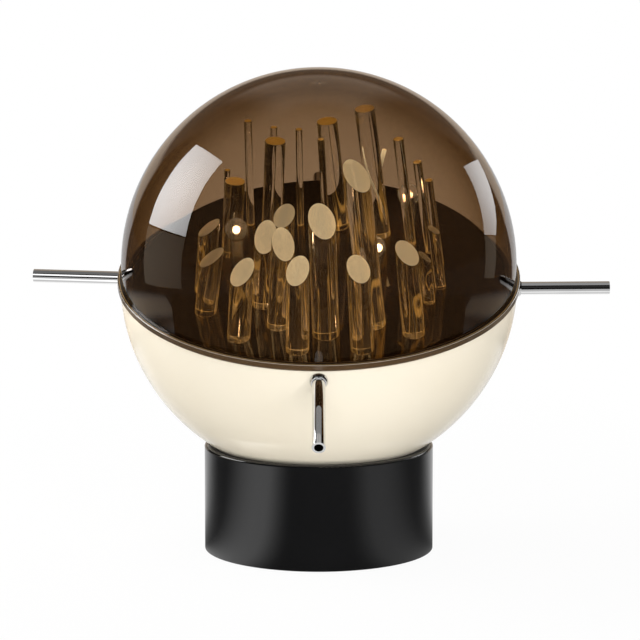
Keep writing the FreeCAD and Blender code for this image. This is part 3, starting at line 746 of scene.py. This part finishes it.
def make_world():
    finish = Finish(bpy.data.worlds.new("room"))
    finish.outlet = "ShaderNodeOutputWorld"
    camera_ray, glossy_ray, glass_ray = ray_kinds(finish)
    side, ahead, up = finish.split(finish.add("ShaderNodeTexCoord", output="Generated"))
    side = side.size()
    facing = ahead.step(0.0, 0.2) * (1 - side.step(BACKDROP_SIDE - 0.03, BACKDROP_SIDE + 0.03))
    backdrop = facing * (1 - up.step(BACKDROP_TOP - 0.04, BACKDROP_TOP + 0.04))
    glow = facing * (1 - up.step(BACKDROP_TOP, GLOW_TOP))
    above = ahead.step(0.0, 0.2) * (1 - side.step(TOP_PANEL_SIDE - 0.1, TOP_PANEL_SIDE + 0.1))
    panel = above * up.band(PANEL_FROM, PANEL_TO, PANEL_EDGE, PANEL_EDGE)
    mirrored = DARK_ROOM + BACKDROP_LIGHT * backdrop + UPPER_GLOW * glow + TOP_PANEL * panel
    through = 1 - CEILING_DIMMING * up.step(CEILING_FROM, CEILING_TO)
    plain = (1 - glossy_ray.larger(glass_ray)) * SOFT_LIGHT
    room = plain + glass_ray * through + glossy_ray * (1 - glass_ray) * mirrored
    strength = camera_ray + (1 - camera_ray) * room
    colour = finish.tint(glossy_ray * (1 - glass_ray), (1.0, 1.0, 1.0), MIRRORED_WARM)
    light = finish.add("ShaderNodeBackground", None, {"Color": colour, "Strength": strength})
    return finish.end(light)


bpy.context.scene.world = make_world()

# %% [markdown]
# The floor is a painted quad for soft light, so that it takes the lamp's shadow, and for every other
# ray it glows: white for the camera and through glass, dark in mirrors. Behind the lamp it is as
# bright as the backdrop. Near the lamp its glow paints pools of light to both sides, which the drum
# shows as two soft upright bands, and farther out a painted lit stretch puts a veil on the dome's
# lower edge.

# %% Floor
FLOOR_HALF = 30.0
FLOOR_PALE = (0.80, 0.80, 0.79)
FLOOR_WHITE_NEAR, FLOOR_WHITE_FAR = 0.95, 1.0
FLOOR_BRIGHT_FROM, FLOOR_BRIGHT_TO = -0.05, 0.2
FLOOR_DARK = 0.03
FLOOR_SPREAD, NEAR_SPREAD = 0.64, 0.66
WARM_GREY = (1.0, 0.84, 0.66)
VEIL_BRIGHT = 0.62
RIGHT_DIMMING = 0.4
VEIL_FROM, VEIL_TO = 0.85, 1.3
LINE_AT_SIDE, LINE_SLOPE = 1.1, 0.342
PAINTED_POOL_END = 0.75
PAINTED_POOL_BASE, PAINTED_POOL_LEFT, PAINTED_POOL_RIGHT = 0.08, 1.25, 0.5
BANDS_RISE, BANDS_FALL = (-0.15, 0.6), (0.66, 0.93)


def add_quad(name, corners, finish):
    mesh = bpy.data.meshes.new(name)
    mesh.from_pydata(corners, [], [(0, 1, 2, 3)])
    mesh.materials.append(finish)
    quad = bpy.data.objects.new(name, mesh)
    bpy.context.scene.collection.objects.link(quad)
    return quad


def make_floor():
    finish = new_finish("pale_floor")
    camera_ray, glossy_ray, glass_ray = ray_kinds(finish)
    place = finish.place()
    side, ahead, _ = finish.split(place)
    distance = finish.vectors("LENGTH", place, output="Value")
    cloud = finish.noise(3, 3)
    paint = finish.surface(
        Base_Color=finish.tint(cloud, FLOOR_PALE, (0.82, 0.82, 0.81)),
        Roughness=0.8,
        Specular_IOR_Level=0.0,
    )
    out = side.size()
    near = 1 - distance.step(PAINTED_POOL_END - 0.1, PAINTED_POOL_END + 0.1)
    beyond = out - (FLOOR_SPREAD + NEAR_SPREAD * near) * ahead
    aside = beyond.step(-0.1 - 0.1 * near, 0.1 + 0.2 * near)
    behind = ahead.step(FLOOR_BRIGHT_FROM, FLOOR_BRIGHT_TO) * (1 - aside)
    # Painted light in mirrors: a lit stretch out to the sides, farther from the lamp.
    painted_lit = (ahead + LINE_SLOPE * (LINE_AT_SIDE - out)).step(-0.03, 0.03)
    veil = distance.band(VEIL_FROM, VEIL_TO, 0.1, 0.2)
    painted_veil = VEIL_BRIGHT * painted_lit * veil * (1 - RIGHT_DIMMING * side.step(-0.1, 0.1))
    # Painted pools of light in mirrors, close to the lamp on its left and right, brighter on the left.
    towards_front = -1 * ahead / distance
    bands = towards_front.step(*BANDS_RISE) * (1 - towards_front.step(*BANDS_FALL))
    power = PAINTED_POOL_LEFT + (PAINTED_POOL_RIGHT - PAINTED_POOL_LEFT) * side.step(-0.02, 0.02)
    painted_pools = (PAINTED_POOL_BASE + power * bands) * near
    mirrored = FLOOR_DARK + (BACKDROP_LIGHT * behind).larger(painted_veil) + painted_pools
    seen = camera_ray.larger(glass_ray)
    glow = finish.add(
        "ShaderNodeEmission",
        None,
        {
            "Color": finish.tint(painted_lit * veil * (1 - seen), (1.0, 1.0, 1.0), WARM_GREY),
            "Strength": seen + (1 - seen) * mirrored,
        },
    )
    far = distance.step(0.3, 1.0)
    share = FLOOR_WHITE_NEAR + (FLOOR_WHITE_FAR - FLOOR_WHITE_NEAR) * far
    kinds = camera_ray * share + (1 - camera_ray) * glossy_ray.larger(glass_ray)
    return finish.end(finish.add("ShaderNodeMixShader", None, {0: kinds, 1: paint, 2: glow}))


add_quad(
    "floor",
    [(x * FLOOR_HALF, y * FLOOR_HALF, 0) for x, y in ((-1, -1), (1, -1), (1, 1), (-1, 1))],
    make_floor(),
)

# %% [markdown]
# Two tall soft boxes stand to the sides, a little behind the lamp. The left one is large and
# bright and its clean four-sided reflection sits on the dome's upper left; below it hangs a grey
# curtain. The right one is seen nearly edge on. They are hidden from the camera, also through clear
# pieces, and show only in what mirrors them.


# %% Soft boxes
def glowing(name, colour, strength, edge):
    """Light from a sheet of cloth: full in the middle, a share of it at the corners."""
    finish = new_finish(name)
    spot = finish.add("ShaderNodeTexCoord", output="Generated")
    out = finish.vectors("DISTANCE", spot, (0.5, 0.5, 0.5), "Value")
    power = strength * (1 - (1 - edge) * out.step(0.0, 0.8))
    return finish.end(finish.add("ShaderNodeEmission", None, {"Color": full(colour), "Strength": power}))


COOL_WHITE = (1.0, 1.0, 1.0)
SOFT_BOXES = {
    "left_box": (
        COOL_WHITE,
        9.2,
        0.65,
        [(-1.12, 0.79, 1.28), (-1.23, 0.02, 1.62), (-1.77, -0.24, 0.71), (-1.49, 0.78, 0.54)],
    ),
    "left_curtain": (
        WARM_GREY,
        0.62,
        0.8,
        [(-1.49, 0.78, 0.52), (-1.77, -0.24, 0.69), (-1.84, -0.28, 0.01), (-1.60, 0.74, 0.01)],
    ),
    "right_box": (
        COOL_WHITE,
        3.1,
        0.70,
        [(1.27, 0.87, 1.03), (0.90, 1.34, 0.69), (1.36, 0.86, 0.39), (1.60, 0.57, 0.50)],
    ),
    "right_curtain": (
        WARM_GREY,
        0.45,
        0.9,
        [(1.60, 0.57, 0.49), (1.42, 0.87, 0.39), (1.83, 0.93, 0.01), (2.25, 0.67, 0.01)],
    ),
}
for name, (colour, strength, edge, corners) in SOFT_BOXES.items():
    box = add_quad(name, corners, glowing(name, colour, strength, edge))
    box.visible_camera = box.visible_transmission = False
print("soft boxes:", len(SOFT_BOXES))

# %% [markdown]
# The mirrored floor near the lamp is meant for the drum. The front of the dome looks down on it
# more steeply, so a black sheet just above the height of the drum hides it from there; mirrors
# alone see the sheet, which puts a painted dark reflection on the dome's front.

# %% Shade over the near floor
SHADE_HEIGHT = 135 * MM
SHADE_CORNERS = [(-0.85, -0.85), (0.85, -0.85), (0.85, -0.09), (-0.85, -0.09)]
# A painted dark reflection: a black sheet that only mirrors see.
shade = add_quad(
    "mirrored_dark_sheet",
    [(x, y, SHADE_HEIGHT) for x, y in SHADE_CORNERS],
    glowing("mirrored_dark_sheet", WARM_GREY, 0.0, 1.0),
)
shade.visible_camera = shade.visible_diffuse = shade.visible_transmission = shade.visible_shadow = False

# %% [markdown]
# Area lamps do the rest. A long low lamp in front fills the bowl's underside and is kept out of
# mirrors, so that the dark front of the drum and the dome stays dark. Chrome shows nothing but its
# surroundings, and the tubes differ: the left one has a white band where the right one is dark. So
# each group of tubes has panels of its own in front, above and below it. Light linking lets a lamp
# reach only the pieces of one collection. Two small panels close to the front tube give it its grey
# and its white stripe.


# %% Lamps
def collect(name, *pieces):
    collection = bpy.data.collections.new(name)
    for piece in pieces:
        collection.objects.link(nodes[piece])
    return collection


def add_lamp(name, place, target, size, radiance, mirrors=True, only=None):
    """A rectangular lamp that looks from its place to a target, as bright as its radiance says."""
    lamp_data = bpy.data.lights.new(name, "AREA")
    lamp_data.shape, lamp_data.size, lamp_data.size_y = "RECTANGLE", *size
    lamp_data.energy = radiance * math.pi * size[0] * size[1]
    lamp = bpy.data.objects.new(name, lamp_data)
    lamp.location = place
    lamp.rotation_euler = (Vector(target) - Vector(place)).to_track_quat("-Z", "Y").to_euler()
    lamp.visible_camera = False
    lamp.visible_glossy = lamp.visible_transmission = mirrors
    if only:
        lamp.light_linking.receiver_collection = only
    bpy.context.scene.collection.objects.link(lamp)


add_lamp("front_fill", (0.6, -2.2, 0.45), (0, 0, 0.2), (2.4, 0.9), 4.35, mirrors=False)
PANEL_WIDTH, LOW_PANEL_Z = 4.0, 0.14
for group, ends, front, above, low, low_from, low_to in (
    ("middle", ("front", "back"), 1.2, 0.12, 0.8, -0.925, -0.175),
    ("left", ("left",), 1.6, 0.17, 0.55, -0.50, 0.20),
    ("right", ("right",), 0.03, 0.34, 0.60, -0.50, 0.20),
):
    tubes = collect(group + "_tubes", *(part + end for end in ends for part in ("bar_", "rosette_")))
    add_lamp(group + "_front", (0, -1.9, 1.25), (0, 0, 0.28), (PANEL_WIDTH, 1.0), front, only=tubes)
    add_lamp(group + "_above", (0, -0.2, 2.2), (0, -0.2, 0), (PANEL_WIDTH, 2.0), above, only=tubes)
    place = Vector((0, (low_from + low_to) / 2, LOW_PANEL_Z))
    size = (PANEL_WIDTH, low_to - low_from)
    add_lamp(group + "_below", place, place + Vector((0, 0, 1)), size, low, only=tubes)

FRONT_ROOT = Vector((0, -188.3 * MM, 208 * MM))
FRONT_ALONG = Vector((0, -math.cos(math.radians(28.5)), -math.sin(math.radians(28.5))))
ABOVE_FRONT = Vector((0, FRONT_ALONG.z, -FRONT_ALONG.y))
front_tube = collect("front_tube", "bar_front")
for name, across, along, above, size, radiance in (
    ("tube_grey", 0, 71 * MM, 12 * MM, (17 * MM, 64 * MM), 0.26),
    ("tube_white", -30 * MM, 25 * MM, 8.5 * MM, (40 * MM, 150 * MM), 0.8),
):
    place = FRONT_ROOT + Vector((across, 0, 0)) + along * FRONT_ALONG + above * ABOVE_FRONT
    add_lamp(name, place, place - ABOVE_FRONT, size, radiance, only=front_tube)
